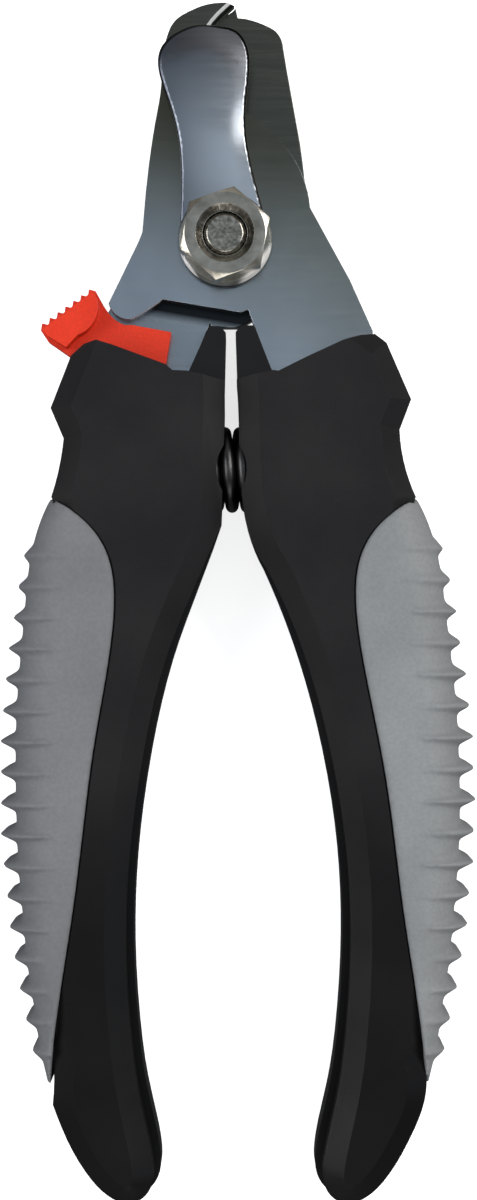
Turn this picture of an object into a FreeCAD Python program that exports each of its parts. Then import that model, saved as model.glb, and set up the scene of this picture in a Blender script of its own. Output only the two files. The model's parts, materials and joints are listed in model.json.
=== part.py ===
import FreeCAD, Part
import os

from FreeCAD import Placement, Rotation, Vector

# Scissor nail clipper, lying flat with the jaws closed and the lock engaged.
# Everything is drawn about the pivot bolt: X across, +Y to the jaws, +Z to the nut, and Z = 0 is
# the plane where the two blade plates meet. Each sub-part is then placed by the pivot's position,
# so that the frame's origin is the bottom centre of the whole clipper.

os.makedirs("parts", exist_ok=True)
doc = FreeCAD.newDocument("scissor_nail_clipper")

DIMENSIONS = {
    "pivot_x": -1.8,
    "pivot_y": 50.06,
    "pivot_z": 8.3,
    "plate_thickness": 3.0,
    "plate_play": 0.05,
    "bush_radius": 4.5,
    "bolt_radius": 3.0,
    "bolt_clearance": 0.1,
    "snug": 0.05,
    "bush_height": 3.15,
    "friction_washer_thickness": 0.45,
    "friction_washer_radius": 6.1,
    "guard_thickness": 1.1,
    "guard_bottom": 3.65,
    "nut_flange_radius": 6.5,
    "nut_flange_thickness": 1.3,
    "nut_flange_taper": 0.35,
    "nut_width": 11.2,
    "nut_height": 5.4,
    "nut_turn": 19.0,
    "nut_top_radius": 5.5,
    "nut_crown_radius": 14.1,
    "nut_countersink": 4.0,
    "nut_countersink_depth": 0.9,
    "nut_bottom": 4.8,
    "bolt_head_radius": 6.2,
    "bolt_head_height": 2.3,
    "bolt_sunk": 0.5,
    "driver_slot_length": 8.4,
    "driver_slot_width": 1.2,
    "driver_slot_depth": 1.1,
    "head_washer_thickness": 0.5,
    "head_washer_radius": 6.9,
    "shell_depth": 8.0,
    "shell_flank_depth": 2.4,
    "shell_flank_width": 2.8,
    "rim_depth": 4.6,
    "parting_lip": 0.9,
    "grip_thickness": 1.8,
    "grip_depth": 8.3,
    "grip_groove": 0.35,
    "grip_round": 4.8,
    "rib_count": 17,
    "rib_height": 2.35,
    "rib_half_width": 1.3,
    "spring_radius": 6.0,
    "spring_wire": 0.85,
    "spring_y": -31.6,
    "spring_seat_radius": 6.4,
    "spring_left_end": -5.6,
    "spring_right_end": 7.5,
    "lock_thickness": 2.5,
    "lock_bottom": 0.12,
    "lock_pad_height": 5.0,
    "lock_pin_radius": 1.2,
    "lock_pin_length": 9.5,
    "lock_pin_bottom": -4.5,
    "lock_pin_foot_radius": 2.0,
    "lock_pin_foot_height": 1.2,
    "lock_slot_play": 0.12,
    "lock_washer_radius": 2.6,
    "lock_washer_thickness": 0.35,
    "lock_washer_bottom": 2.68,
    "lock_travel": 4.8,
    "channel_height": 3.15,
    "tang_hole_radius": 1.3,
    "screw_radius": 1.1,
    "screw_head_radius": 1.9,
    "screw_length": 12.0,
    "screw_head_height": 1.4,
    "screw_recess": 1.7,
    "screw_play": 0.15,
    "screw_cross_length": 2.4,
    "screw_cross_width": 0.5,
    "screw_cross_depth": 0.9,
}
sheet = doc.addObject("Spreadsheet::Sheet", "Dims")
for row, (alias, value) in enumerate(DIMENSIONS.items(), start=1):
    sheet.set(f"A{row}", alias)
    sheet.set(f"B{row}", str(value))
    sheet.setAlias(f"B{row}", alias)
doc.recompute()


def dim(alias):
    return float(sheet.get(alias))


finished = []


def place(item, label):
    """Moves a finished sub-part from the pivot's frame to the object's frame and names its file."""
    item.Label = label
    for axis in "xyz":
        item.setExpression(f"Placement.Base.{axis}", f"Dims.pivot_{axis}")
    finished.append(item)
    return item


# --- outlines -----------------------------------------------------------------------------------
# An outline is a list of runs. A run of two points is a straight line, a longer run is a smooth
# curve through its points. Each run starts where the last one ended.


def curves(outline):
    """The lines and curves of a closed outline, as Part geometry."""
    shapes = []
    end = outline[-1][-1]
    for run in outline:
        points = [Vector(x, y, 0) for x, y in [end] + run]
        if (points[0] - points[1]).Length < 1e-6:
            points = points[1:]
        if len(points) == 2:
            shapes.append(Part.LineSegment(points[0], points[1]))
        elif len(points) > 2:
            curve = Part.BSplineCurve()
            curve.interpolate(points)
            shapes.append(curve)
        end = run[-1]
    return shapes


def corners(points):
    """An outline of straight lines through the given corners."""
    return [[point] for point in points]


def grown(points, distance):
    """The corners of a polygon whose sides are moved outward. The corners run anticlockwise."""
    moved = []
    for index, point in enumerate(points):
        before = Vector(*points[index - 1])
        here = Vector(*point)
        after = Vector(*points[(index + 1) % len(points)])
        first = (here - before).normalize()
        second = (after - here).normalize()
        normal_one = Vector(first.y, -first.x)
        normal_two = Vector(second.y, -second.x)
        corner = (normal_one + normal_two) * (distance / (1 + normal_one.dot(normal_two)))
        moved.append((here.x + corner.x, here.y + corner.y))
    return moved


def origin_plane(body, role):
    return next(item for item in body.Origin.OriginFeatures if item.Role == role)


def sketch(body, name, geometry, height=0.0):
    """A sketch on the body's XY plane at a height, holding ready geometry."""
    drawing = body.newObject("Sketcher::SketchObject", name)
    drawing.AttachmentSupport = [(origin_plane(body, "XY_Plane"), "")]
    drawing.MapMode = "FlatFace"
    drawing.AttachmentOffset = Placement(Vector(0, 0, height), Rotation())
    drawing.addGeometry(geometry, False)
    return drawing


def circle(x, y, radius):
    return Part.Circle(Vector(x, y, 0), Vector(0, 0, 1), radius)


def slab(name, outline, bottom, thickness, holes=()):
    """A body padded upward from a height. thickness is an expression on the sheet."""
    body = doc.addObject("PartDesign::Body", name)
    drawing = sketch(body, name + "_outline", curves(outline) + list(holes), bottom)
    pad = body.newObject("PartDesign::Pad", name + "_pad")
    pad.Profile = drawing
    pad.setExpression("Length", thickness)
    doc.recompute()
    return body


def pocket(body, name, geometry, height, depth, upward):
    """Cuts a pocket from a height. depth is an expression; the volume shows that it cut."""
    drawing = sketch(body, name + "_outline", geometry, height)
    cut = body.newObject("PartDesign::Pocket", name)
    before = body.Shape.Volume
    cut.Profile = drawing
    cut.setExpression("Length", depth)
    cut.Reversed = upward
    doc.recompute()
    if not body.Shape.Volume < before - 1e-3:
        cut.Reversed = not upward
        doc.recompute()
    if not body.Shape.Volume < before - 1e-3:
        raise RuntimeError(f"{name} removed nothing")
    return cut


def primitive(kind, name, base, turn=None, **sizes):
    """A Part primitive. Sizes given as text are expressions on the sheet."""
    item = doc.addObject(kind, name)
    for key, value in sizes.items():
        if isinstance(value, str):
            item.setExpression(key, value)
        else:
            setattr(item, key, value)
    item.Placement = Placement(Vector(*base), turn or Rotation())
    return item


def cut(name, base, tool):
    item = doc.addObject("Part::Cut", name)
    item.Base = base
    item.Tool = tool
    item.Refine = True
    return item


def gather(kind, name, items):
    item = doc.addObject(kind, name)
    if kind == "Part::Compound":
        item.Links = items
    else:
        item.Shapes = items
    return item


ALONG_X = Rotation(Vector(0, 1, 0), 90)
ALONG_Y = Rotation(Vector(1, 0, 0), 90)
play = dim("plate_play")
plate = dim("plate_thickness")
shell_depth = dim("shell_depth")

# --- blade plates -------------------------------------------------------------------------------
# Each plate is a jaw above the bolt and a tang below it. The tangs end inside the handles and take
# two shell screws each.

# The lock slides down and outward along this direction.
SLIDE = Vector(-0.821, -0.571, 0)
LOCK_PIN = (-15.8, -20.6)

LEFT_SCREWS = [(-14.5, -28.5), (-13.6, -62.5), (-15.6, -121.0)]
RIGHT_SCREWS = [(16.0, -27.0), (16.9, -62.5), (19.1, -121.0)]
left_tang = [(-2.1, -11.0), (-4.9, -17.9), (-8.6, -24.5), (-9.4, -44.0), (-11.4, -58.0), (-11.7, -68.0),
             (-14.0, -71.0), (-18.0, -71.0), (-20.0, -68.0), (-20.6, -44.0), (-19.4, -30.0),
             (-19.4, -15.5)]
right_tang = [(20.5, -12.5), (20.9, -29.0), (22.1, -44.0), (22.9, -68.0), (20.9, -71.0),
              (16.9, -71.0), (14.6, -68.0), (14.1, -58.0), (11.3, -44.0), (10.4, -24.5),
              (6.4, -17.9), (4.6, -13.3)]

left_tang_space = list(reversed(left_tang + [(-12.6, -2.0)]))
right_tang_space = list(reversed(right_tang))

front_outline = [
    [(1.3, 32.95), (-1.3, 33.0), (-2.9, 32.7), (-4.9, 31.9), (-7.0, 30.5), (-8.1, 28.3), (-8.7, 25.0),
     (-8.9, 21.2), (-9.6, 17.0), (-10.4, 12.0), (-11.0, 7.0), (-11.5, 1.2)],
    [(-12.1, -0.3)],
    [(-16.2, -8.7)],
    [(-15.6, -9.8), (-14.4, -10.7), (-13.1, -10.9)],
    [(-11.9, -10.3)],
    [(-9.3, -8.6)],
    [(-8.7, -8.1)],
    [(2.1, -9.9)],
    [(3.2, -9.5)],
    [(4.6, -13.3)],
] + corners(list(reversed(right_tang))[1:]) + [
    [(17.3, -5.4)],
    [(11.8, 4.6)],
    [(10.9, 8.6), (9.0, 12.2), (6.2, 15.4), (3.3, 17.5), (0.4, 18.0)],
    [(-1.6, 20.0), (-3.0, 23.4), (-3.1, 26.6), (-1.8, 29.8), (-0.2, 31.6), (1.3, 32.95)],
]
front = slab("front_plate", front_outline, play, "Dims.plate_thickness",
             [circle(0, 0, dim("bush_radius") + play)])
tang_hole = dim("tang_hole_radius")
pocket(front, "front_tang_holes", [circle(x, y, tang_hole) for x, y in RIGHT_SCREWS[:2]],
       play, "Dims.plate_thickness + 1", True)

rear_outline = [
    [(1.45, 33.05), (0.2, 32.1), (-2.2, 31.5), (-5.0, 29.9)],
    [(-4.3, 27.4), (-3.8, 24.6), (-4.0, 21.4), (-5.6, 18.4)],
    [(-8.0, 15.2), (-10.2, 10.5), (-11.2, 5.0), (-11.3, 0.5)],
    [(-12.6, -2.0)],
    [(-19.4, -15.5)],
] + corners(list(reversed(left_tang))[1:]) + [
    [(-1.9, -11.6)],
    [(1.8, -11.6)],
    [(3.6, -10.7), (6.6, -8.2), (9.6, -4.6), (11.3, 0.4), (11.7, 4.2)],
    [(11.4, 6.6), (10.6, 13.3), (9.2, 21.2), (8.1, 27.6)],
    [(7.7, 29.0), (7.0, 29.9), (5.8, 30.6), (4.3, 31.2), (2.9, 31.6)],
    [(1.75, 31.7)],
    [(1.45, 33.05)],
]
rear = slab("rear_plate", rear_outline, -play - plate, "Dims.plate_thickness",
            [circle(0, 0, dim("bolt_radius") + dim("bolt_clearance"))])
pocket(rear, "rear_tang_holes", [circle(x, y, tang_hole) for x, y in LEFT_SCREWS[:2] + [LOCK_PIN]],
       -play - plate, "Dims.plate_thickness + 1", True)


# A ground bevel along the front plate's cutting edge, cut by a sloped strip that follows the edge.
BEVEL_WIDTH = 0.75
BEVEL_DEPTH = 1.5
BEVEL_STEPS = 14
OVER = 0.05
BESIDE = 0.3
CREEP = 0.02
edge_points = [(-1.6, 20.0), (-3.0, 23.4), (-3.1, 26.6), (-1.8, 29.8), (-0.2, 31.6), (1.3, 32.95)]
edge_curve = Part.BSplineCurve()
edge_curve.interpolate([Vector(x, y, 0) for x, y in [(0.4, 18.0)] + edge_points])
profiles = []
for step in range(BEVEL_STEPS + 1):
    span = edge_curve.LastParameter - edge_curve.FirstParameter
    at = edge_curve.FirstParameter + span * step / BEVEL_STEPS
    point = edge_curve.value(at)
    tangent = edge_curve.tangent(at)[0]
    inward = Vector(-tangent.y, tangent.x, 0)
    if inward.x > 0:
        inward = -inward
    top = Vector(0, 0, play + plate + OVER)
    low = Vector(0, 0, play + plate - BEVEL_DEPTH)
    profiles.append(Part.makePolygon([
        point - inward * BESIDE + top,
        point + inward * BEVEL_WIDTH + top,
        point - inward * CREEP + low,
        point - inward * BESIDE + low,
        point - inward * BESIDE + top,
    ]))
grind = doc.addObject("Part::Feature", "edge_grind")
grind.Shape = Part.makeLoft(profiles, True, True)
front_blade = place(cut("front_blade", front, grind), "front_blade")
rear_blade = place(rear, "rear_blade")

# --- pivot --------------------------------------------------------------------------------------
# The bolt's flat head bears on a washer behind the rear plate. The nut clamps guard, friction
# washer and bush against the rear plate, so the front plate turns freely on the bush.

head_top = -play - plate - dim("head_washer_thickness")
head_bottom = head_top - dim("bolt_head_height")
nut_bottom = dim("nut_bottom")
bolt_end = nut_bottom + dim("nut_height") - dim("bolt_sunk")

bolt = doc.addObject("PartDesign::Body", "bolt")
bolt_profile = bolt.newObject("Sketcher::SketchObject", "bolt_profile")
bolt_profile.AttachmentSupport = [(origin_plane(bolt, "XZ_Plane"), "")]
bolt_profile.MapMode = "FlatFace"
radius = dim("bolt_radius")
head_radius = dim("bolt_head_radius")
bolt_side = [
    (0, head_bottom),
    (head_radius - 1.4, head_bottom),
    (head_radius, head_bottom + 1.1),
    (head_radius, head_top),
    (radius, head_top),
    (radius, bolt_end - 0.6),
    (radius - 0.55, bolt_end),
    (0, bolt_end),
]
bolt_profile.addGeometry(curves(corners(bolt_side)), False)
bolt_turn = bolt.newObject("PartDesign::Revolution", "bolt_turn")
bolt_turn.Profile = bolt_profile
bolt_turn.ReferenceAxis = (bolt_profile, ["V_Axis"])
bolt_turn.Angle = 360
doc.recompute()
slot_x = dim("driver_slot_length") / 2
slot_y = dim("driver_slot_width") / 2
slot_corners = [(-slot_x, -slot_y), (slot_x, -slot_y), (slot_x, slot_y), (-slot_x, slot_y)]
pocket(bolt, "driver_slot", curves(corners(slot_corners)), head_bottom, "Dims.driver_slot_depth", True)
place(bolt, "pivot_bolt")


def ring(name, outer, inner, bottom, height):
    """A washer or bush about the pivot. Sizes are expressions on the sheet."""
    body = primitive("Part::Cylinder", name + "_body", (0, 0, bottom), Radius=outer, Height=height)
    bore = primitive("Part::Cylinder", name + "_bore", (0, 0, bottom - 1), Radius=inner,
                     Height=height + " + 2")
    return place(cut(name, body, bore), name)


ring("pivot_bush", "Dims.bush_radius", "Dims.bolt_radius + Dims.snug", -play,
     "Dims.bush_height + Dims.plate_play")
ring("friction_washer", "Dims.friction_washer_radius", "Dims.bolt_radius + Dims.bolt_clearance",
     dim("bush_height"), "Dims.friction_washer_thickness")
ring("bolt_washer", "Dims.head_washer_radius", "Dims.bolt_radius + Dims.bolt_clearance", head_top,
     "Dims.head_washer_thickness")

nut_top = nut_bottom + dim("nut_height")
nut_turn = Rotation(Vector(0, 0, 1), dim("nut_turn"))
hexagon = primitive("Part::Prism", "nut_hexagon", (0, 0, nut_bottom), nut_turn, Polygon=6,
                    Circumradius="Dims.nut_width / sqrt(3)", Height="Dims.nut_height")
crown = primitive("Part::Cone", "nut_crown", (0, 0, nut_bottom), Radius1="Dims.nut_crown_radius",
                  Radius2="Dims.nut_top_radius", Height="Dims.nut_height")
nut_hex = gather("Part::MultiCommon", "nut_hex", [hexagon, crown])
flange = primitive("Part::Cone", "nut_flange", (0, 0, nut_bottom), Radius1="Dims.nut_flange_radius",
                   Radius2="Dims.nut_flange_radius - Dims.nut_flange_taper",
                   Height="Dims.nut_flange_thickness")
nut_solid = gather("Part::MultiFuse", "nut_solid", [nut_hex, flange])
nut_bore = primitive("Part::Cylinder", "nut_bore", (0, 0, nut_bottom - 1),
                     Radius="Dims.bolt_radius + 0.04", Height="Dims.nut_height + 2")
sink = dim("nut_countersink_depth")
countersink = primitive("Part::Cone", "nut_countersink", (0, 0, nut_top - sink),
                        Radius1="Dims.nut_countersink - Dims.nut_countersink_depth",
                        Radius2="Dims.nut_countersink + 0.1", Height=sink + 0.1)
nut_bores = gather("Part::MultiFuse", "nut_bores", [nut_bore, countersink])
place(cut("nut", nut_solid, nut_bores), "flange_nut")

# --- nail guard ---------------------------------------------------------------------------------
# A stamped stop plate, held under the nut, that swings about the bolt over the jaws. Its long upper
# edges are rounded.

guard_outline = [
    [(0.4, 29.3), (-1.8, 29.6), (-4.4, 29.5), (-6.1, 28.9), (-7.6, 28.0), (-8.9, 26.5), (-9.3, 24.6),
     (-8.7, 21.6), (-7.4, 17.6), (-6.4, 13.0), (-6.1, 8.1), (-6.25, 3.0), (-6.3, 0.0)],
    [(-4.7, -4.3), (0.0, -6.35), (4.6, -4.2), (5.9, 0.4)],
    [(5.2, 4.3), (4.2, 8.1), (3.3, 12.3), (2.9, 16.0), (3.0, 19.5), (3.4, 23.8), (3.1, 26.6),
     (2.1, 28.4), (0.4, 29.3)],
]
guard = slab("guard_plate", guard_outline, dim("guard_bottom"), "Dims.guard_thickness",
             [circle(0, 0, dim("bolt_radius") + play)])
guard_round = guard.newObject("PartDesign::Fillet", "guard_round")
upper = dim("guard_bottom") + dim("guard_thickness")


def edges_at(shape, height, keep=lambda edge: True):
    """The names of a shape's edges that lie in the plane at a height."""
    names = []
    for number, edge in enumerate(shape.Edges, start=1):
        box = edge.BoundBox
        if abs(box.ZMin - height) < 1e-4 and abs(box.ZMax - height) < 1e-4 and keep(edge):
            names.append(f"Edge{number}")
    return names


LONG_EDGE = 9.5
long_edges = edges_at(guard.Shape, upper, lambda edge: edge.BoundBox.DiagonalLength > LONG_EDGE)
guard_round.Base = (guard.Group[-2], long_edges)
guard_round.Radius = 0.5
doc.recompute()
place(guard, "nail_guard")

# --- handles ------------------------------------------------------------------------------------
# Each handle is a front shell and a back shell that meet at Z = 0. The back shell stands out by the
# parting lip along the inner edge. The soft grip is a sleeve over the outer side of both shells.


def splay(y):
    """Twice the X of the line that the two handles mirror about, at a height below the pivot."""
    share = min(1.0, max(0.0, (-y - 20.0) / 60.0))
    return 1.9 + 1.7 * share


def mirrored(points):
    """Points of the left handle carried to the right handle, in reverse order."""
    return [(splay(y) - x, y) for x, y in reversed(points)]


def inner_edge(lip):
    """The left handle's inner edge from the spring down to the tail, moved in by lip."""
    edge = [(-2.8, -45.5), (-7.0, -56.9), (-10.5, -71.5), (-12.4, -86.0), (-12.8, -97.0),
            (-12.2, -108.5), (-10.9, -118.0), (-9.1, -126.6)]
    return [(x - lip * min(1.0, (-y - 39.0) / 12.0), y - 0.15 * lip) for x, y in edge]


def tail(lip):
    """The rounded end of the left handle, up to where the grip ends."""
    return [(-9.1 - 0.9 * lip, -129.6), (-10.5 - 0.6 * lip, -132.1 + 0.3 * lip),
            (-13.1, -133.15 + 0.4 * lip), (-16.0, -132.0 + 0.2 * lip), (-18.8, -129.0), (-21.9, -123.7),
            (-23.7, -119.2)]


under_grip = [(-23.6, -112.5), (-24.5, -105.0), (-25.6, -97.0), (-26.4, -88.0), (-26.8, -78.0),
              (-26.7, -66.0), (-26.1, -55.0), (-25.0, -46.0), (-23.4, -41.0)]
notch = [(-23.9, -35.6), (-22.7, -31.0), (-22.2, -27.6)]
grip_outer = [(-24.2, -118.0), (-24.5, -116.2), (-25.3, -112.8), (-26.3, -106.4), (-27.2, -100.6),
              (-27.9, -93.5), (-28.5, -86.5), (-28.8, -79.5), (-28.9, -72.0), (-28.75, -65.0),
              (-28.3, -58.5), (-27.6, -50.8), (-27.0, -45.0), (-26.2, -41.2), (-24.0, -35.75)]
grip_seam = [(-20.0, -38.1), (-17.4, -40.7), (-15.6, -44.2), (-14.9, -49.0), (-15.3, -55.4),
             (-16.4, -62.5), (-17.7, -70.0), (-19.0, -80.0), (-20.5, -92.0), (-22.2, -103.0),
             (-23.3, -111.0), (-23.85, -117.8)]


def left_handle(lip):
    return [
        [(-0.1, -19.6)],
        [(-0.1, -26.0), (-0.3, -33.0), (-0.55, -39.2)],
        inner_edge(lip) + tail(lip),
        under_grip + [(-23.9, -35.6)],
        notch[1:],
        [(-24.0, -23.4)],
        [(-21.2, -16.2)],
        [(-19.4, -14.7)],
        [(-17.6, -14.25)],
        [(-15.5, -14.9)],
        [(-8.1, -17.6)],
        [(-7.2, -18.4)],
        [(-5.1, -18.5)],
        [(-0.1, -19.6)],
    ]


def right_handle(lip):
    return [
        [(6.6, -18.4)],
        [(7.3, -18.5)],
        [(11.1, -16.6)],
        [(16.1, -14.3)],
        [(18.6, -13.5)],
        [(20.6, -13.2)],
        [(22.2, -14.4)],
        [(25.6, -22.2)],
        [(24.0, -26.4)],
        [(24.5, -30.4)] + mirrored([(-23.9, -35.6)]),
        mirrored(under_grip),
        mirrored(inner_edge(lip) + tail(lip)),
        mirrored([(-0.55, -39.2)]) + [(2.1, -33.0), (1.9, -26.0), (1.6, -19.4)],
    ]


# The lower rim beside each tang, at the top of the gap between the handles.
RIMS = {
    "left": [(-2.2, -12.0), (-5.1, -18.4), (-5.5, -21.5), (-0.1, -21.5), (0.1, -12.9), (-0.7, -12.0)],
    "right": [(2.3, -11.9), (1.45, -12.8), (1.75, -21.5), (7.0, -21.5), (6.6, -18.4), (3.9, -11.9)],
}


def rounded(body, name, sets_of_edges, radii):
    """Rounds the first set of edges, at the first radius, that gives a sound solid."""
    for keep, height in sets_of_edges:
        for radius in radii:
            rounding = body.newObject("PartDesign::Fillet", name)
            rounding.Base = (body.Group[-2], edges_at(body.Shape, height, keep))
            rounding.Radius = radius
            doc.recompute()
            if rounding.isValid() and body.Shape.isValid() and body.Shape.Volume > 1:
                print(name, "rounded by", radius)
                return True
            body.removeObject(rounding)
            if doc.getObject(rounding.Name):
                doc.removeObject(rounding.Name)
            doc.recompute()
    return False


def below_the_top(edge):
    middle = edge.BoundBox.Center
    return middle.y < -19.8 or abs(middle.x) > 21.2


def any_edge(edge):
    return True


def outer_edge(edge):
    return edge.BoundBox.YLength > 60 and abs(edge.BoundBox.Center.x) > 20


def flanked(body, name, sets_of_edges, widths):
    """Slopes the rim of an outer face, by the first set of edges and width that give a sound solid."""
    for keep, height in sets_of_edges:
        for width in widths:
            slope = body.newObject("PartDesign::Chamfer", name)
            slope.Base = (body.Group[-2], edges_at(body.Shape, height, keep))
            slope.ChamferType = "Two distances"
            slope.Size = dim("shell_flank_depth")
            slope.Size2 = width
            doc.recompute()
            if slope.isValid() and body.Shape.isValid() and body.Shape.Volume > 1:
                print(name, "sloped by", width)
                return True
            body.removeObject(slope)
            if doc.getObject(slope.Name):
                doc.removeObject(slope.Name)
            doc.recompute()
    return False


def shell_body(name, side, outline, front_side):
    """One half of a handle, with sloping flanks around its outer face."""
    body = slab(name, outline, 0.0 if front_side else -shell_depth, "Dims.shell_depth")
    face = shell_depth if front_side else -shell_depth
    width = dim("shell_flank_width")
    if not flanked(body, name + "_flank", [(below_the_top, face), (any_edge, face)], (width, 2.4, 2.0)):
        raise RuntimeError(f"{name} has no flanks")
    rim_bottom = 0.0 if front_side else -dim("rim_depth")
    rim = slab(name + "_rim", corners(RIMS[side]), rim_bottom, "Dims.rim_depth")
    return gather("Part::MultiFuse", name + "_with_rim", [body, rim])


def seam_outline(side, shift):
    """The area of the front view that the grip covers, out past the handle."""
    line = [(-23.6 - shift, -35.9)] + [(x - shift, y) for x, y in grip_seam]
    far = [(-27.0, -118.4), (-40.0, -118.4), (-40.0, -33.0)]
    if side == "right":
        line = mirrored(line)
        far = mirrored(far)
    return [[line[0]], line[1:]] + corners(far)


def grip_blank_outline(side):
    """The side of the handle and the grip's outer line."""
    line = grip_outer
    inside = [(-12.0, -35.75), (-12.0, -120.0), (-23.8, -120.0)]
    if side == "right":
        line = mirrored(line)
        inside = mirrored(inside)
    return corners(inside) + [[line[0]], line[1:]]


# The room that the lock slides in, cut in the left handle's front shell.
lock_channel = [(-30.0, -9.0), (-30.0, -18.8), (-25.7, -19.4), (-22.9, -20.6), (-22.35, -21.4),
                (-22.35, -25.2), (-21.2, -26.3), (-14.4, -26.3), (-10.9, -22.9), (-9.4, -19.8),
                (-9.0, -18.2), (-7.4, -18.0), (-6.9, -12.0), (-6.9, -9.0)]


def seat(name):
    """The round hole across both handles that the return spring sits in."""
    return primitive("Part::Cylinder", name, (dim("spring_left_end"), dim("spring_y"), 0), ALONG_X,
                     Radius="Dims.spring_seat_radius",
                     Height="Dims.spring_right_end - Dims.spring_left_end")


def shell_hollows(name, side, front_side, screws):
    """The round holes cut in one shell: spring seat, screw bores and the lock's pin."""
    hollows = [seat(name + "_seat")]
    if side == "left" and front_side:
        hollows.append(slab("lock_channel", corners(list(reversed(lock_channel))), -OVERCUT,
                            "Dims.channel_height"))
        hollows.append(primitive("Part::Cylinder", "lock_pin_hole", (*LOCK_PIN, 0),
                                 Radius="Dims.lock_pin_radius + 0.02",
                                 Height="Dims.lock_pin_bottom + Dims.lock_pin_length + 0.02"))
    if side == "left" and not front_side:
        hollows.append(primitive("Part::Cylinder", "lock_pin_foot_hole",
                                 (*LOCK_PIN, dim("lock_pin_bottom") - 0.02),
                                 Radius="Dims.lock_pin_foot_radius + 0.02", Height=5))
    below = -shell_depth - 1
    for number, (x, y) in enumerate(screws):
        if front_side:
            depth = "Dims.screw_length - Dims.shell_depth + Dims.screw_recess + 0.3"
            hollows.append(primitive("Part::Cylinder", f"{name}_bore_{number}", (x, y, -OVERCUT),
                                     Radius="Dims.screw_radius + 0.01", Height=depth))
        else:
            hollows.append(primitive("Part::Cylinder", f"{name}_bore_{number}", (x, y, below),
                                     Radius="Dims.screw_radius + Dims.screw_play",
                                     Height="Dims.shell_depth + 2"))
            hollows.append(primitive("Part::Cylinder", f"{name}_sink_{number}", (x, y, below),
                                     Radius="Dims.screw_head_radius + Dims.screw_play",
                                     Height="1 + Dims.screw_recess"))
    return hollows


def handle_shells(side, outline, tang, screws):
    """The front and back shell of a handle, cut for the grip, tang, screws, spring and lock."""
    beyond = shell_depth + 4
    grip_zone = slab(side + "_grip_zone", seam_outline(side, 0.0), -beyond, "2 * (Dims.shell_depth + 4)")
    tongue = slab(side + "_tongue", corners([(-45, -140), (45, -140), (45, 0), (-45, 0)]),
                  -shell_depth + dim("grip_thickness"), "2 * (Dims.shell_depth - Dims.grip_thickness)")
    grip_cut = cut(side + "_grip_cut", grip_zone, tongue)
    tang_space = slab(side + "_tang_space", corners(grown(tang, TANG_GAP)),
                      0.0 if side == "right" else -plate - 2 * play,
                      "Dims.plate_thickness + 2 * Dims.plate_play")
    for front_side in (True, False):
        name = f"{side}_handle_{'front' if front_side else 'back'}"
        lip = dim("parting_lip") if front_side else 0.0
        body = shell_body(name + "_body", side, outline(lip), front_side)
        tools = [grip_cut] + shell_hollows(name, side, front_side, screws)
        if front_side == (side == "right"):
            tools.append(tang_space)
        place(cut(name, body, gather("Part::MultiFuse", name + "_tools", tools)), name)
        doc.recompute()


def line_at(points, y):
    """X of the curve through the points where it crosses a height."""
    curve = Part.BSplineCurve()
    curve.interpolate([Vector(px, py, 0) for px, py in points])
    level = Part.Line(Vector(-100, y, 0), Vector(100, y, 0))
    return curve.intersect(level)[0].X


def rib_loop(name, x, y, radius):
    """A closed loop across the grip: two straight sides joined by half circles, front and back."""
    straight = dim("grip_depth") - dim("grip_round")
    corner_points = [(-radius, straight), (-radius, -straight), (radius, -straight), (radius, straight)]
    upper_left, lower_left, lower_right, upper_right = (Vector(px, py, 0) for px, py in corner_points)
    loop = doc.addObject("Sketcher::SketchObject", name)
    loop.Placement = Placement(Vector(x, y, 0), ALONG_Y)
    loop.addGeometry([
        Part.LineSegment(upper_left, lower_left),
        Part.Arc(lower_left, Vector(0, -straight - radius, 0), lower_right),
        Part.LineSegment(lower_right, upper_right),
        Part.Arc(upper_right, Vector(0, straight + radius, 0), upper_left),
    ], False)
    return loop


def rib(side, number, y):
    """A sharp-rimmed disc across the grip. It stands out at the side and fades into both faces."""
    outer = line_at(grip_outer, y)
    width = line_at(grip_seam, y) - outer
    height = dim("rib_height") - RIB_TAPER * ((y - RIB_MIDDLE) / RIB_SPAN) ** 2
    crest = RIB_CREST * height * min(1.0, (width - NARROW_GRIP) / GRIP_WIDENING)
    if crest < LEAST_CREST:
        crest = -LEAST_CREST
    radius = dim("grip_round") + crest
    middle = outer + radius - height
    if side == "right":
        middle = splay(y) - middle
    name = f"{side}_rib_{number + 1}"
    half = dim("rib_half_width")
    root = radius - RIB_FALL * height
    disc = doc.addObject("Part::Loft", name)
    disc.Sections = [
        rib_loop(name + "_upper", middle, y + half, root),
        rib_loop(name + "_rim", middle, y, radius),
        rib_loop(name + "_lower", middle, y - half, root),
    ]
    disc.Solid = True
    disc.Ruled = True
    return disc


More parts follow.
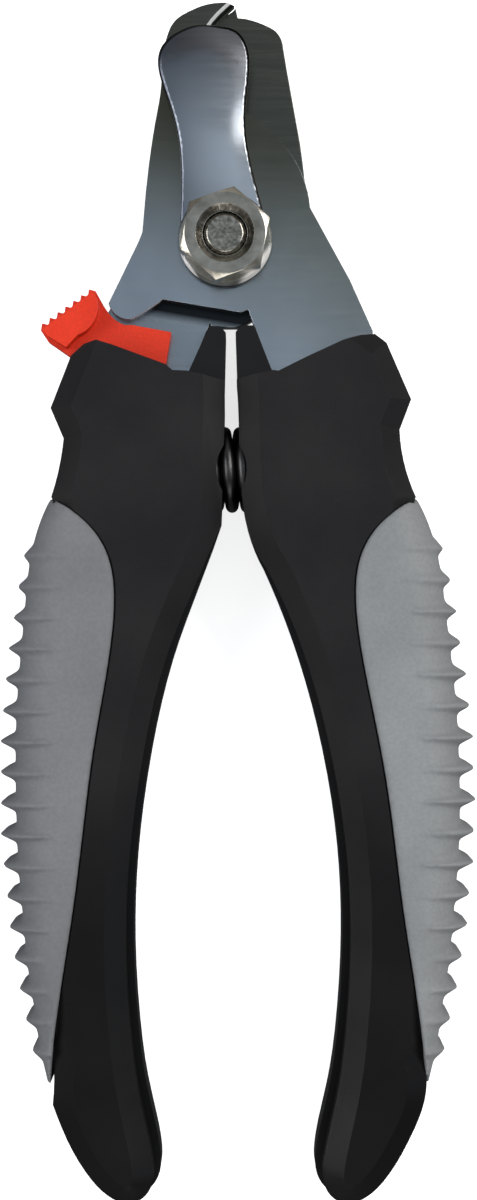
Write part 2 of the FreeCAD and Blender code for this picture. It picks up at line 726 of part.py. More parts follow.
def grip(side, outline, first_rib, last_rib):
    """The soft sleeve over the outer side of a handle, with its row of ribs. Its back is flat."""
    sleeve = slab(side + "_sleeve", grip_blank_outline(side), -dim("grip_depth"), "2 * Dims.grip_depth")
    for height in (dim("grip_depth"), -dim("grip_depth")):
        if not rounded(sleeve, side + "_sleeve_round", [(outer_edge, height)], GRIP_ROUNDS):
            raise RuntimeError(f"{side} sleeve could not be rounded")
    count = int(dim("rib_count"))
    pitch = (last_rib - first_rib) / (count - 1)
    ribs = [rib(side, number, first_rib + number * pitch) for number in range(count)]
    ribbed = gather("Part::MultiFuse", side + "_ribbed_sleeve", [sleeve] + ribs)
    zone = slab(side + "_sleeve_zone", seam_outline(side, dim("grip_groove")), -dim("grip_depth"),
                "2 * Dims.grip_depth + 4")
    outer = gather("Part::MultiCommon", side + "_grip_outer", [ribbed, zone])
    upper_core = slab(side + "_core_upper", outline(dim("parting_lip")), 0.0,
                      "Dims.shell_depth - Dims.grip_thickness")
    lower_core = slab(side + "_core_lower", outline(0.0), -shell_depth + dim("grip_thickness"),
                      "Dims.shell_depth - Dims.grip_thickness")
    half_cut = cut(side + "_grip_half_cut", outer, upper_core)
    place(cut(side + "_grip", half_cut, lower_core), side + "_grip")
    doc.recompute()


OVERCUT = 0.01
TANG_GAP = 0.12
# The ribs are highest half way down the grip, and their crests are lower on the narrow end.
RIB_TAPER = 1.25
RIB_MIDDLE = -79.0
RIB_SPAN = 35.0
RIB_CREST = 0.32
LEAST_CREST = 0.25
RIB_FALL = 1.1
NARROW_GRIP = 4.0
GRIP_WIDENING = 5.0
GRIP_ROUNDS = (dim("grip_round"), 4.4, 4.0, 3.6, 3.2)
handle_shells("left", left_handle, left_tang_space, LEFT_SCREWS)
handle_shells("right", right_handle, right_tang_space, RIGHT_SCREWS)
grip("left", left_handle, -43.7, -111.9)
grip("right", right_handle, -42.7, -111.8)

# --- lock ---------------------------------------------------------------------------------------
# A slider in the front plate's layer. Its bar stands in the path of the front plate's lower corner.
# A pin in the left handle runs in its slot, and a spring washer holds it where it is put.

lock_outline = [
    [(-18.0, -6.9)],
    [(-16.7, -9.2), (-15.2, -10.95), (-13.9, -11.6)],
    [(-12.9, -11.6)],
    [(-7.5, -12.6)],
    [(-8.3, -17.4)],
    [(-9.6, -17.8)],
    [(-10.2, -20.0)],
    [(-11.4, -22.7)],
    [(-12.1, -23.2)],
    [(-17.1, -23.2)],
    [(-18.0, -22.2)],
    [(-18.0, -18.2)],
    [(-19.2, -17.2)],
    [(-21.3, -16.2)],
    [(-24.6, -13.9)],
    [(-25.6, -12.4)],
]
TEETH = 7
TOOTH_LEAN = 0.55
TOOTH_HEIGHT = 0.75
start = Vector(-25.6, -12.4)
end = Vector(-18.0, -6.9)
step_along = (end - start) / TEETH
outward = Vector(-step_along.y, step_along.x).normalize()
for number in range(TEETH):
    tip = start + step_along * (number + TOOTH_LEAN) + outward * TOOTH_HEIGHT
    root = start + step_along * (number + 1)
    lock_outline.append([(tip.x, tip.y)])
    lock_outline.append([(root.x, root.y)])
lock_outline = lock_outline[1:]
pin = Vector(*LOCK_PIN)
reach = pin - SLIDE * dim("lock_travel")
half = dim("lock_pin_radius") + dim("lock_slot_play")
side_step = Vector(SLIDE.y, -SLIDE.x, 0) * half
slot_geometry = [
    Part.LineSegment(pin + side_step, reach + side_step),
    Part.Arc(reach + side_step, reach - SLIDE * half, reach - side_step),
    Part.LineSegment(reach - side_step, pin - side_step),
    Part.Arc(pin - side_step, pin + SLIDE * half, pin + side_step),
]
lock = slab("lock_body", lock_outline, dim("lock_bottom"), "Dims.lock_thickness", slot_geometry)
pad_outline = [
    [(-18.3, -7.3)],
    [(-17.5, -9.5), (-18.3, -11.8), (-20.3, -13.3)],
    [(-21.9, -15.0)],
    [(-24.5, -13.4)],
    [(-25.3, -12.5)],
    [(-18.3, -7.3)],
]
pad_sketch = sketch(lock, "lock_pad_outline", curves(pad_outline), dim("lock_bottom"))
lock_pad = lock.newObject("PartDesign::Pad", "lock_pad")
lock_pad.Profile = pad_sketch
lock_pad.setExpression("Length", "Dims.lock_pad_height")
doc.recompute()
place(lock, "lock_slider")

pin_base = (*LOCK_PIN, dim("lock_pin_bottom"))
pin_shaft = primitive("Part::Cylinder", "pin_shaft", pin_base, Radius="Dims.lock_pin_radius",
                      Height="Dims.lock_pin_length")
pin_foot = primitive("Part::Cylinder", "pin_foot", pin_base, Radius="Dims.lock_pin_foot_radius",
                     Height="Dims.lock_pin_foot_height")
place(gather("Part::MultiFuse", "pin", [pin_shaft, pin_foot]), "lock_pin")
washer_bottom = dim("lock_washer_bottom")
washer_body = primitive("Part::Cylinder", "lock_washer_body", (*LOCK_PIN, washer_bottom),
                        Radius="Dims.lock_washer_radius", Height="Dims.lock_washer_thickness")
washer_bore = primitive("Part::Cylinder", "lock_washer_bore", (*LOCK_PIN, washer_bottom - 1),
                        Radius="Dims.lock_pin_radius + Dims.snug",
                        Height="Dims.lock_washer_thickness + 2")
place(cut("lock_washer", washer_body, washer_bore), "lock_washer")

# --- shell screws and return spring -------------------------------------------------------------


def screw(name, x, y):
    """A cross-head screw, driven from the back."""
    head_z = -shell_depth + dim("screw_recess") - dim("screw_head_height")
    head = primitive("Part::Cylinder", name + "_head", (x, y, head_z), Radius="Dims.screw_head_radius",
                     Height="Dims.screw_head_height")
    shank = primitive("Part::Cylinder", name + "_shank", (x, y, head_z + dim("screw_head_height") - 0.1),
                      Radius="Dims.screw_radius", Height="Dims.screw_length")
    solid = gather("Part::MultiFuse", name + "_solid", [head, shank])
    bars = []
    long_side = "screw_cross_length"
    short_side = "screw_cross_width"
    for turn, (along_x, along_y) in enumerate(((long_side, short_side), (short_side, long_side))):
        corner = (x - dim(along_x) / 2, y - dim(along_y) / 2, head_z - 0.1)
        bars.append(primitive("Part::Box", f"{name}_cross_{turn}", corner, Length="Dims." + along_x,
                              Width="Dims." + along_y, Height="Dims.screw_cross_depth + 0.1"))
    return cut(name, solid, gather("Part::MultiFuse", name + "_cross", bars))


for side, spots in (("left", LEFT_SCREWS), ("right", RIGHT_SCREWS)):
    screws = [screw(f"{side}_screw_{number + 1}", x, y) for number, (x, y) in enumerate(spots)]
    place(gather("Part::Compound", side + "_screws", screws), f"{side}_handle_screws")

SPRING_TURNS = 5.5
SPRING_GAP = 0.05
wire = dim("spring_wire")
coil_radius = dim("spring_radius") - wire
length = dim("spring_right_end") - dim("spring_left_end") - 2 * wire - 2 * SPRING_GAP
helix = Part.makeHelix(length / SPRING_TURNS, length, coil_radius)
start_point = Vector(coil_radius, 0, 0)
profile = Part.Wire([Part.makeCircle(wire, start_point, Vector(0, 1, 0))])
coil = Part.Wire(helix.Edges).makePipeShell([profile], True, True)
spring = doc.addObject("Part::Feature", "coil_spring")
spring.Shape = coil
spring.Placement = Placement(
    Vector(dim("pivot_x") + dim("spring_left_end") + wire + SPRING_GAP,
           dim("pivot_y") + dim("spring_y"), dim("pivot_z")), ALONG_X)
spring.Label = "return_spring"
finished.append(spring)

# --- checks and files ---------------------------------------------------------------------------

doc.recompute()
for item in doc.Objects:
    if any(flag in item.State for flag in ("Invalid", "Error")):
        raise RuntimeError(f"{item.Name} did not build: {item.State}")
whole = None
for item in finished:
    if item.Shape.isNull() or not item.Shape.isValid():
        raise RuntimeError(f"{item.Label} has no valid shape")
    box = item.Shape.BoundBox
    whole = box if whole is None else whole.united(box)
    print(f"{item.Label:20s} solids {len(item.Shape.Solids)} volume {item.Shape.Volume:9.1f}  "
          f"z {box.ZMin:6.2f} {box.ZMax:6.2f}")
    item.Shape.exportStep(f"parts/{item.Label}.step")
print("overall", whole)
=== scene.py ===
import json
import math

import bmesh
import bpy
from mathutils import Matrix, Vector


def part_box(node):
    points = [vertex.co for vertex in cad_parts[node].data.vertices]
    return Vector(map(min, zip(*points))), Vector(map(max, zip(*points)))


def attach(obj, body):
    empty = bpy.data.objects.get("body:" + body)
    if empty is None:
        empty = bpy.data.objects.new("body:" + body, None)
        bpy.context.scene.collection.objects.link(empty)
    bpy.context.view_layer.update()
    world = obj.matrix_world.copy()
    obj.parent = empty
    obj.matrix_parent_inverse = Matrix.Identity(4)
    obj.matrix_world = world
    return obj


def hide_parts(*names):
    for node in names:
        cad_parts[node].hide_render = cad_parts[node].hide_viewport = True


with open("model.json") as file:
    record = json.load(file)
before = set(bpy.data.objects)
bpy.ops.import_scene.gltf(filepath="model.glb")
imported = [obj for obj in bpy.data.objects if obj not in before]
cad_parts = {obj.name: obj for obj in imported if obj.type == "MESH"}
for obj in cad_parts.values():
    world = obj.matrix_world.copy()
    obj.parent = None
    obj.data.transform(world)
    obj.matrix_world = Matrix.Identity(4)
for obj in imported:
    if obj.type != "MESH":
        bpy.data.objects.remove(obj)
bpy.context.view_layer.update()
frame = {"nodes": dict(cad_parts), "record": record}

NODES = frame["nodes"]


# --- materials ----------------------------------------------------------------------------------

SOFT_LIMIT = 0.0001     # half the width of the change at a height limit, in metres
# Colour of the painted highlights on the nut's flange.
GLINT_HIGHLIGHT = (0.95, 0.91, 0.87)
# Colour of the ground bevel, painted pale as a painted highlight.
BEVEL_HIGHLIGHT = (0.97, 0.97, 0.97)
# Direction of the painted shade that darkens the steel towards the tip.
TIP_DIRECTION = (0.12, 1.0, 0.0)


class Finish:
    """A node material with small helpers, so that each finish reads as a short recipe."""

    def __init__(self, name, metallic=0.0, **sockets):
        self.material = bpy.data.materials.new(name)
        self.material.use_nodes = True
        self.tree = self.material.node_tree
        self.shader = self.tree.nodes["Principled BSDF"]
        self.shader.inputs["Metallic"].default_value = metallic
        for socket, value in sockets.items():
            self.shader.inputs[socket.replace("_", " ")].default_value = value
        coordinates = self.add("ShaderNodeTexCoord")
        self.place = coordinates.outputs["Object"]
        self.facing = coordinates.outputs["Normal"]

    def add(self, kind, **settings):
        node = self.tree.nodes.new(kind)
        for key, value in settings.items():
            setattr(node, key, value)
        return node

    def join(self, output, socket):
        self.tree.links.new(output, socket)

    def stretched(self, scale):
        """The object's own coordinates, scaled by axis."""
        mapping = self.add("ShaderNodeMapping")
        mapping.inputs["Scale"].default_value = scale
        self.join(self.place, mapping.inputs["Vector"])
        return mapping.outputs["Vector"]

    def noise(self, scale, detail=3.0, stretch=(1, 1, 1), roughness=0.5):
        node = self.add("ShaderNodeTexNoise")
        node.inputs["Scale"].default_value = scale
        node.inputs["Detail"].default_value = detail
        node.inputs["Roughness"].default_value = roughness
        self.join(self.stretched(stretch), node.inputs["Vector"])
        return node.outputs["Fac"]

    def ramp(self, value, stops):
        """A colour ramp. Stops are (position, grey or colour)."""
        node = self.add("ShaderNodeValToRGB")
        elements = node.color_ramp.elements
        while len(elements) < len(stops):
            elements.new(0.5)
        for element, (position, colour) in zip(elements, stops):
            element.position = position
            if not isinstance(colour, tuple):
                colour = (colour, colour, colour)
            element.color = (*colour, 1.0)
        self.join(value, node.inputs["Fac"])
        return node.outputs["Color"]

    def mix(self, factor, first, second, mode="MIX"):
        """Mixes two colours. Each input is an output of a node, a number or a colour."""
        node = self.add("ShaderNodeMix", data_type="RGBA", blend_type=mode)
        inputs = ((node.inputs[0], factor), (node.inputs[6], first), (node.inputs[7], second))
        for socket, value in inputs:
            if isinstance(value, bpy.types.NodeSocket):
                self.join(value, socket)
            elif isinstance(value, tuple):
                socket.default_value = (*value, 1.0)
            else:
                socket.default_value = value
        return node.outputs[2]

    def colour(self, output):
        self.join(output, self.shader.inputs["Base Color"])

    def rough(self, output):
        self.join(output, self.shader.inputs["Roughness"])

    def bump(self, *layers):
        """Stacked bumps. Each layer is (height output, strength, distance in metres)."""
        normal = None
        for height, strength, distance in layers:
            node = self.add("ShaderNodeBump")
            node.inputs["Strength"].default_value = strength
            node.inputs["Distance"].default_value = distance
            self.join(height, node.inputs["Height"])
            if normal is not None:
                self.join(normal, node.inputs["Normal"])
            normal = node.outputs["Normal"]
        self.join(normal, self.shader.inputs["Normal"])

    def fade(self, along, start, end, smooth=True, of_normal=False):
        """Rises from 0 to 1 between two values of the place, or of the normal, along a direction."""
        measure = self.add("ShaderNodeVectorMath", operation="DOT_PRODUCT")
        self.join(self.facing if of_normal else self.place, measure.inputs[0])
        measure.inputs[1].default_value = along
        share = self.add("ShaderNodeMapRange", interpolation_type="SMOOTHSTEP" if smooth else "LINEAR")
        share.inputs["From Min"].default_value = start
        share.inputs["From Max"].default_value = end
        self.join(measure.outputs["Value"], share.inputs["Value"])
        return share.outputs["Result"]


def brushed_steel(name, dark, light, roughness, tip, streaks=0.10, shades=(), rims=(),
                  ground=None):
    """Rolled and brushed plate: fine scratches across it, blotchy tone, and darker towards the tip as a
    painted shade.

    tip is (start, end, tone), for that painted shade. Each of shades is (direction, start, end, stops,
    tone): a painted shade, where the steel takes the tone as well, by the share that the stops give
    between two distances along the direction.
    Each of rims is (direction, tone): a painted shade on the rounded rim where it looks that way, in
    place of its highlight. ground is (direction, low, high, bottom, top): faces that look that way are
    the ground bevel, painted pale and not metallic as a painted highlight, above the bottom height.
    """
    steel = Finish(name, metallic=1.0)
    scratches = steel.noise(1.0, 2.0, (110, 1900, 1900), 0.5)
    blotches = steel.noise(90.0, 3.0, (1, 0.5, 1))
    tone = steel.mix(steel.ramp(blotches, [(0.35, 0.0), (0.68, 1.0)]), dark, light)
    start, end, shade_tone = tip
    # Painted shade: darker towards the tip.
    tone = steel.mix(steel.fade(TIP_DIRECTION, start, end), tone, shade_tone, "MULTIPLY")
    # Painted shade over the given bands.
    for along, start, end, stops, shade_tone in shades:
        share = steel.ramp(steel.fade(along, start, end, smooth=False), stops)
        tone = steel.mix(share, tone, shade_tone, "MULTIPLY")
    # Painted shade on the rounded rim, in place of its highlights.
    for along, shade_tone in rims:
        rim = steel.add("ShaderNodeAttribute", attribute_name="rim").outputs["Fac"]
        looks = steel.fade(along, -0.05, 0.15, of_normal=True)
        share = steel.mix(1.0, rim, looks, "MULTIPLY")
        tone = steel.mix(share, tone, shade_tone, "MULTIPLY")
    tone = steel.mix(streaks, tone, steel.ramp(scratches, [(0.3, 0.4), (0.7, 0.95)]), "MULTIPLY")
    # Painted highlight: the ground bevel is pale and not metallic.
    if ground:
        along, low, high, bottom, top = ground
        share = steel.mix(1.0, steel.fade(along, low, high, of_normal=True),
                          steel.fade((0, 0, 1), bottom, top), "MULTIPLY")
        tone = steel.mix(share, tone, BEVEL_HIGHLIGHT)
        steel.join(steel.ramp(share, [(0.0, 1.0), (1.0, 0.0)]), steel.shader.inputs["Metallic"])
    steel.colour(tone)
    steel.rough(steel.ramp(scratches, [(0.3, roughness[0]), (0.7, roughness[1])]))
    steel.bump((scratches, 0.05, 0.00001), (blotches, 0.05, 0.0002))
    return steel.material


def moulded(name, dark, light, flank_highlight, roughness, grain, shades=(), **sockets):
    """Injection-moulded plastic or soft rubber with a fine spark texture.

    grain is (scale, depth in metres). Faces that turn sideways take a set tone, a painted highlight on
    the flanks. Each of shades is (direction, start, end, tone), a painted shade.
    """
    plastic = Finish(name, **sockets)
    scale, depth = grain
    grain = plastic.noise(scale, 2.0, (1, 1, 1), 0.6)
    patches = plastic.noise(70.0, 4.0)
    tone = plastic.mix(plastic.ramp(patches, [(0.35, 0.0), (0.7, 1.0)]), dark, light)
    # Painted highlight: faces that turn sideways take a set tone.
    tone = plastic.mix(plastic.fade((0, 0, 1), 0.9, 0.4, of_normal=True), tone, flank_highlight)
    # Painted shade over the given bands.
    for along, start, end, shade_tone in shades:
        tone = plastic.mix(plastic.fade(along, start, end), tone, shade_tone, "MULTIPLY")
    plastic.colour(plastic.mix(0.25, tone, plastic.ramp(grain, [(0.35, 0.6), (0.65, 1.0)]), "MULTIPLY"))
    plastic.rough(plastic.ramp(patches, [(0.3, roughness[0]), (0.7, roughness[1])]))
    plastic.bump((grain, 0.35, depth), (patches, 0.08, 0.0003))
    return plastic.material


def plated(name, dark, light, roughness, smears=(260.0, 0.05), glints=(), dulled=None):
    """Bright nickel plate with faint turning marks and hairline scratches.

    smears is (scale, bump). Each of glints is (direction, start, end, top): past end along the
    direction, and below top, the plate is painted pale and less metallic, a painted highlight. dulled is
    (direction, start, end, tone): a painted shade; past end along the direction, the steep faces are
    darkened with the tone in place of their reflections.
    """
    metal = Finish(name, metallic=1.0)
    marks = metal.noise(2500.0, 2.0)
    cloud = metal.noise(smears[0], 3.0)
    tone = metal.mix(metal.ramp(cloud, [(0.35, 0.0), (0.65, 1.0)]), dark, light)
    # Painted shade on the steep faces, in place of their reflections.
    if dulled:
        along, start, end, shade_tone = dulled
        share = metal.mix(1.0, metal.fade(along, start, end),
                          metal.fade((0, 0, 1), 0.85, 0.65, of_normal=True), "MULTIPLY")
        tone = metal.mix(share, tone, shade_tone, "MULTIPLY")
    sheen = 0.0
    # Painted highlights: pale and less metallic patches.
    for along, start, end, top in glints:
        share = metal.mix(1.0, metal.fade(along, start, end),
                          metal.fade((0, 0, 1), top + SOFT_LIMIT, top - SOFT_LIMIT), "MULTIPLY")
        tone = metal.mix(share, tone, GLINT_HIGHLIGHT)
        sheen = metal.mix(1.0, sheen, share, "ADD") if sheen else share
    if glints:
        metal.join(metal.ramp(sheen, [(0.0, 1.0), (1.0, 0.1)]), metal.shader.inputs["Metallic"])
    metal.colour(tone)
    metal.rough(metal.ramp(cloud, [(0.3, roughness[0]), (0.7, roughness[1])]))
    metal.bump((marks, 0.05, 0.00003), (cloud, smears[1], 0.0001))
    return metal.material


FINISHES = {
    # The guard: painted shade towards its top, on its left side, and on its rims in place of their
    # highlights.
    "guard_steel": brushed_steel("guard_steel", (0.70, 0.74, 0.79), (0.76, 0.80, 0.86), (0.19, 0.25),
                                 (0.062, 0.080, (0.34, 0.325, 0.335)), 0.04,
                                 [((1.0, 0.12, 0.0), -0.0010, 0.0066, [(0.0, 1.0), (1.0, 0.0)],
                                   (0.40, 0.41, 0.43))],
                                 [((1.0, 0.0, 0.0), (0.03, 0.03, 0.03)),
                                  ((-1.0, 0.0, 0.0), (0.42, 0.42, 0.44)),
                                  ((0.0, 1.0, 0.0), (0.5, 0.5, 0.5))]),
    "nut_plate": plated("nut_plate", (0.42, 0.385, 0.32), (0.66, 0.62, 0.55), (0.13, 0.26)),
    "bronze": plated("bronze", (0.42, 0.27, 0.11), (0.56, 0.38, 0.17), (0.25, 0.40)),
    # The handles: painted shade on their low faces and towards their tails.
    "handle_plastic": moulded("handle_plastic", (0.0105, 0.0092, 0.0096), (0.0160, 0.0142, 0.0147),
                              (0.0125, 0.0115, 0.0118), (0.27, 0.36), (2600.0, 0.00003),
                              [((0, 0, 1), 0.0134, 0.0126, (0.45, 0.44, 0.44)),
                               ((0, 1, 0), -0.016, -0.040, (0.32, 0.29, 0.29))],
                              Specular_IOR_Level=0.34),
    # The grips are one rubber; the left one is darker as a painted shade.
    "grip_rubber": moulded("grip_rubber", (0.252, 0.260, 0.266), (0.310, 0.318, 0.325),
                           (0.290, 0.298, 0.305), (0.62, 0.78), (1900.0, 0.00006),
                           [((1, 0, 0), 0.004, -0.004, (0.70, 0.695, 0.715))]),
    "lock_plastic": moulded("lock_plastic", (0.76, 0.024, 0.001), (0.90, 0.036, 0.003),
                            (0.82, 0.031, 0.002), (0.40, 0.52), (2400.0, 0.00003)),
    "spring_steel": plated("spring_steel", (0.035, 0.034, 0.034), (0.090, 0.088, 0.088), (0.28, 0.42)),
}
# The rear plate is darkened in a band where it runs under the front plate's lower edge: a painted
# shadow, in place of a cast one.
# Being paint, it stays in place, and shows, when the handles open.
UNDER_PLATE_SHADOW = ((0.165, 0.986, 0.0), 0.0372, 0.0422,
               [(0.0, 0.0), (0.25, 1.0), (0.8, 1.0), (1.0, 0.0)], (0.06, 0.06, 0.06))
# Painted shade: the front plate is darker to the right of the nut.
RIGHT_SIDE_SHADE = ((0.6, 0.8, 0.0), 0.028, 0.062,
             [(0.0, 0.0), (0.5, 1.0), (0.7, 1.0), (1.0, 0.0)], (0.76, 0.74, 0.64))
# The nut: painted highlights, pale patches low on its flange, and painted shade on the steep faces of
# its upper side.
FLANGE_GLINTS = [((0.77, -0.64, 0.0), -0.0284, -0.0276, 0.0146),
                 ((-0.80, -0.60, 0.0), -0.0226, -0.0223, 0.0146)]
UPPER_SIDE_SHADE = ((0.0, 1.0, 0.0), 0.0470, 0.0484, (0.16, 0.155, 0.14))
OWN_FINISH = {
    # Both blades: painted shade darkens them towards the jaws.
    "rear_blade": brushed_steel("rear_blade_steel", (0.36, 0.40, 0.44), (0.43, 0.48, 0.52), (0.20, 0.30),
                                (0.045, 0.066, (0.34, 0.31, 0.245)), shades=[UNDER_PLATE_SHADOW]),
    "pivot_bolt": plated("bolt_plate", (0.22, 0.20, 0.17), (0.50, 0.47, 0.41), (0.16, 0.30),
                         (1900.0, 0.20)),
    "flange_nut": plated("flange_nut_plate", (0.34, 0.31, 0.255), (0.56, 0.525, 0.455),
                         (0.13, 0.26), (420.0, 0.10), FLANGE_GLINTS, UPPER_SIDE_SHADE),
    "front_blade": brushed_steel("front_blade_steel", (0.42, 0.46, 0.51), (0.50, 0.55, 0.61),
                                 (0.20, 0.27), (0.044, 0.068, (0.33, 0.30, 0.235)),
                                 shades=[RIGHT_SIDE_SHADE],
                                 ground=((0.92, -0.35, 0.0), 0.40, 0.60, 0.0105, 0.0108)),
}

for part in frame["record"]["subparts"]:
    node = NODES[part["node"]]
    node.data.materials.clear()
    node.data.materials.append(OWN_FINISH.get(part["node"]) or FINISHES[part["material_slot"]])


# --- small edge rounding on the CAD bodies --------------------------------------------------------

SAME_POINT = 0.000002
ROUNDING = {
    "front_blade": 0.00014,
    "rear_blade": 0.00014,
    "flange_nut": 0.00015,
    "pivot_bolt": 0.00012,
    "lock_slider": 0.0003,
    "left_handle_front": 0.0005,
    "left_handle_back": 0.0005,
    "right_handle_front": 0.0005,
    "right_handle_back": 0.0005,
}


def rounded_edges(item, width, sharp_angle=28.0):
    """Joins the faces into one skin, rounds its sharp edges and shades the rest as flat.

    The CAD mesh comes split along every crease, and a split edge can't be rounded.
    """
    whole = item.modifiers.new("one_skin", "WELD")
    whole.merge_threshold = SAME_POINT
    flat = item.modifiers.new("whole_faces", "DECIMATE")
    flat.decimate_type = "DISSOLVE"
    flat.angle_limit = math.radians(1.0)
    bevel = item.modifiers.new("edge_round", "BEVEL")
    bevel.width = width
    bevel.segments = 4
    bevel.limit_method = "ANGLE"
    bevel.angle_limit = math.radians(sharp_angle)
    shading = item.modifiers.new("flat_shading", "WEIGHTED_NORMAL")
    shading.keep_sharp = True
    shading.weight = 60


for name, width in ROUNDING.items():
    rounded_edges(NODES[name], width)


# --- nail guard: the stamped plate is crowned across and turned down at its top edge ---------------

PIVOT = Vector((-0.0018, 0.05006, 0.0083))
MM = 0.001
CUT_STEP = 0.6          # spacing of the cuts that let the flat plate bend, in millimetres
CROWN, LIP, ROLL = 0.30, 0.45, 0.30


def smooth_step(value, low, high):
    share = min(1.0, max(0.0, (value - low) / (high - low)))
    return share * share * (3 - 2 * share)


def guard_rise(x, y):
    """How far the plate is pressed up or down, in millimetres, at a place in the pivot's frame."""
    middle = -0.2 - 0.115 * y
    half = 6.2 - 1.2 * math.sin(math.pi * min(1.0, max(0.0, y / 26.0)))
    across = min(1.0, abs(x - middle) / half)
    crown = CROWN * (1 - across * across) * smooth_step(y, 6.8, 16.0)
    radius = math.hypot(x + 2.9, y - 22.3)
    lip = LIP * smooth_step(radius, 3.5, 8.0) * smooth_step(y, 18.5, 27.0)
    waist = math.exp(-((y - 15.6) / 3.2) ** 2)
    roll = ROLL * waist * max(0.0, (x - 0.2) / 2.8) ** 2
    return crown - lip - roll


def formed_guard():
    source = NODES["nail_guard"]
    mesh = source.data.copy()
    mesh.name = "nail_guard_formed"
    shape = bmesh.new()
    shape.from_mesh(mesh)
    shape.transform(source.matrix_world)
    for axis, low, high in ((0, -10.0, 7.0), (1, 6.0, 30.0)):
        place = low
        while place < high:
            point = PIVOT.copy()
            point[axis] += place * MM
            normal = Vector((0, 0, 0))
            normal[axis] = 1
            bmesh.ops.bisect_plane(shape, geom=shape.verts[:] + shape.edges[:] + shape.faces[:],
                                   plane_co=point, plane_no=normal, dist=1e-7)
            place += CUT_STEP
    top = max(vert.co.z for vert in shape.verts)
    # rim marks the rounded edge, where the guard's finish paints shade in place of its highlights.
    rim = shape.verts.layers.float.new("rim")
    for vert in shape.verts:
        vert[rim] = 1.0 if vert.co.z < top - 0.01 * MM else 0.0
        local = (vert.co - PIVOT) / MM
        vert.co.z += guard_rise(local.x, local.y) * MM
    for face in shape.faces:
        face.smooth = True
    shape.to_mesh(mesh)
    shape.free()
    item = bpy.data.objects.new("nail_guard_formed", mesh)
    bpy.context.collection.objects.link(item)
    mesh.materials.clear()
    mesh.materials.append(FINISHES["guard_steel"])
    bevel = item.modifiers.new("edge_round", "BEVEL")
    bevel.width = 0.00005
    bevel.segments = 2
    bevel.limit_method = "ANGLE"
    bevel.angle_limit = math.radians(40)
    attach(item, "guard")
    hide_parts("nail_guard")


formed_guard()


# --- grips: soft rubber, so every rib is rounded ----------------------------------------------------


GRIP_VOXEL = 0.00032
GRIP_SWELL = 0.00010


def frame_body(node):
    """The moving body that a node belongs to."""
    for body, nodes in frame["record"]["behaviour"]["bodies"].items():
        if node in nodes:
            return body
    raise ValueError(node)


def soft_grip(node):
    source = NODES[node]
    mesh = source.data.copy()
    mesh.name = node + "_soft"
    mesh.transform(source.matrix_world)
    item = bpy.data.objects.new(node + "_soft", mesh)
    bpy.context.collection.objects.link(item)
    mesh.materials.clear()
    mesh.materials.append(FINISHES["grip_rubber"])
    skin = item.modifiers.new("skin", "REMESH")
    skin.mode = "VOXEL"
    skin.voxel_size = GRIP_VOXEL
    skin.use_smooth_shade = True
    softened = item.modifiers.new("softened", "SMOOTH")
    softened.factor = 0.5
    softened.iterations = 5
    swollen = item.modifiers.new("swollen", "DISPLACE")
    swollen.mid_level = 0.0
    swollen.strength = GRIP_SWELL
    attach(item, frame_body(node))
    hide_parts(node)


soft_grip("left_grip")
soft_grip("right_grip")


# --- floor, light and camera ----------------------------------------------------------------------


FLOOR_GLOW = 0.75
FLOOR_DROP = 0.0004


def floor_sheet():
    size = 1.2
    mesh = bpy.data.meshes.new("floor")
    mesh.from_pydata([(-size, -size, 0), (size, -size, 0), (size, size, 0), (-size, size, 0)], [],
                     [(0, 1, 2, 3)])
    floor = bpy.data.objects.new("floor", mesh)
    bpy.context.collection.objects.link(floor)
    floor.location.z = -FLOOR_DROP
    paper = Finish("floor_paper", Roughness=0.9)
    fibres = paper.noise(300.0, 4.0)
    paper.colour(paper.ramp(fibres, [(0.0, 0.90), (1.0, 0.95)]))
    paper.shader.inputs["Emission Color"].default_value = (1, 1, 1, 1)
    paper.shader.inputs["Emission Strength"].default_value = FLOOR_GLOW
    floor.data.materials.append(paper.material)
    floor.visible_glossy = False
    floor.visible_diffuse = False


def area_light(name, place, target, size, power, colour=(1, 1, 1)):
    lamp = bpy.data.lights.new(name, "AREA")
    lamp.shape = "RECTANGLE"
    lamp.size, lamp.size_y = size
    lamp.energy = power
    lamp.color = colour
    holder = bpy.data.objects.new(name, lamp)
    holder.location = place
    holder.rotation_euler = (Vector(target) - Vector(place)).to_track_quat("-Z", "Y").to_euler()
    bpy.context.collection.objects.link(holder)


floor_sheet()
area_light("key_light", (0.62, 0.28, 0.52), (0, 0.0, 0), (0.5, 0.5), 4.4, (1.0, 0.99, 0.97))
area_light("fill_light", (-0.62, 0.05, 0.50), (0, 0, 0), (0.5, 0.5), 3.0, (0.96, 0.98, 1.0))
area_light("low_light", (0.05, -0.75, 0.42), (0, 0, 0), (0.7, 0.3), 1.2)
area_light("guard_card", (0.30, 0.19, 0.62), (0, 0.06, 0), (0.14, 0.30), 0.17)

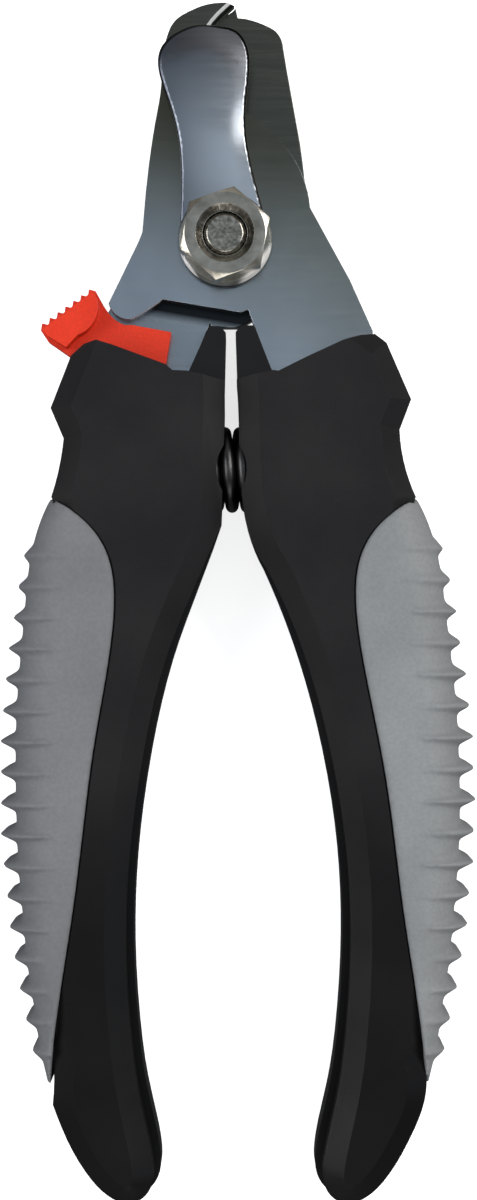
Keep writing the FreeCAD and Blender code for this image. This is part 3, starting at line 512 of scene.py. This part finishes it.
# The studio round the object: blue-grey overhead, darker beyond the jaws.
SKY = [(-1.0, (0.50, 0.50, 0.50)), (-0.24, (0.15, 0.155, 0.16)), (-0.06, (0.32, 0.35, 0.38)),
       (0.12, (0.44, 0.52, 0.60)), (0.18, (0.30, 0.345, 0.39)), (0.30, (0.16, 0.17, 0.175)),
       (0.60, (0.35, 0.35, 0.34)), (1.0, (0.55, 0.55, 0.55))]
world = bpy.data.worlds.new("studio")
bpy.context.scene.world = world
world.use_nodes = True
sky = world.node_tree
direction = sky.nodes.new("ShaderNodeTexCoord")
lean = sky.nodes.new("ShaderNodeVectorMath")
lean.operation = "DOT_PRODUCT"
lean.inputs[1].default_value = (0.30, 0.954, 0.0)
spread = sky.nodes.new("ShaderNodeMapRange")
spread.inputs["From Min"].default_value = -1.0
spread.inputs["From Max"].default_value = 1.0
shades = sky.nodes.new("ShaderNodeValToRGB")
stops = shades.color_ramp.elements
while len(stops) < len(SKY):
    stops.new(0.5)
for stop, (lean_value, colour) in zip(stops, SKY):
    stop.position = (lean_value + 1) / 2
    stop.color = (*colour, 1)
sky.links.new(direction.outputs["Generated"], lean.inputs[0])
sky.links.new(lean.outputs["Value"], spread.inputs["Value"])
sky.links.new(spread.outputs["Result"], shades.inputs["Fac"])
height = sky.nodes.new("ShaderNodeSeparateXYZ")
above = sky.nodes.new("ShaderNodeMapRange")
above.inputs["From Min"].default_value = -0.10
above.inputs["From Max"].default_value = 0.25
ground = sky.nodes.new("ShaderNodeMix")
ground.data_type = "RGBA"
ground.inputs[6].default_value = (0.06, 0.06, 0.06, 1)
sky.links.new(direction.outputs["Generated"], height.inputs[0])
sky.links.new(height.outputs["Z"], above.inputs["Value"])
sky.links.new(above.outputs["Result"], ground.inputs[0])
sky.links.new(shades.outputs["Color"], ground.inputs[7])
sky.links.new(ground.outputs[2], sky.nodes["Background"].inputs["Color"])
sky.nodes["Background"].inputs["Strength"].default_value = 1.0

# The camera looks straight down from a little over 0.3 m, so the near jaws spread slightly outward.
EYE_HEIGHT = 0.311
FRAME_LENGTH = 0.168
plate_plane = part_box("front_blade")[0][2]
camera_data = bpy.data.cameras.new("camera")
camera_data.sensor_fit = "VERTICAL"
camera_data.sensor_height = 24.0
camera_data.lens = camera_data.sensor_height * EYE_HEIGHT / FRAME_LENGTH
camera_data.clip_start = 0.01
camera = bpy.data.objects.new("camera", camera_data)
camera.location = (0.00005, 0.00026, plate_plane + EYE_HEIGHT)
bpy.context.collection.objects.link(camera)
bpy.context.scene.camera = camera
bpy.context.scene.view_settings.view_transform = "Standard"
